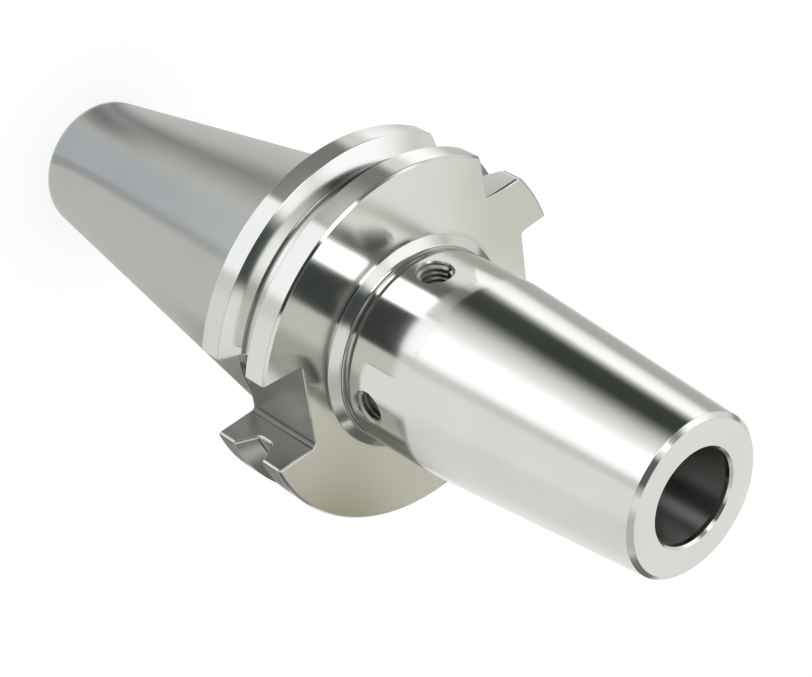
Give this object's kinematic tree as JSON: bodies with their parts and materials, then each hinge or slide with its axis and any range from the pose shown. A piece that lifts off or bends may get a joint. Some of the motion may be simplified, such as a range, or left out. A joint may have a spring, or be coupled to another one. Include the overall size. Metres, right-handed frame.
{
  "type": "shrink fit holder",
  "caption": "Steep-taper tool holder with a V-groove gripper flange, drive slots, an orientation notch and a slim conical nose with a ground bore that shrinks onto a round tool shank.",
  "frame": {"origin": "centre of the gauge plane on the spindle axis, where the 7/24 taper measures 44.45 mm across", "axes": "+Z along the spindle axis towards the nose; +X towards the shallower drive slot; the orientation notch lies halfway between +X and +Y"},
  "size_m": [0.0614, 0.0636, 0.1484],
  "materials": {
    "ground_steel": "turned and ground bare steel"
  },
  "bodies": {
    "root": {"holder_body": "ground_steel"}
  },
  "joints": []
}
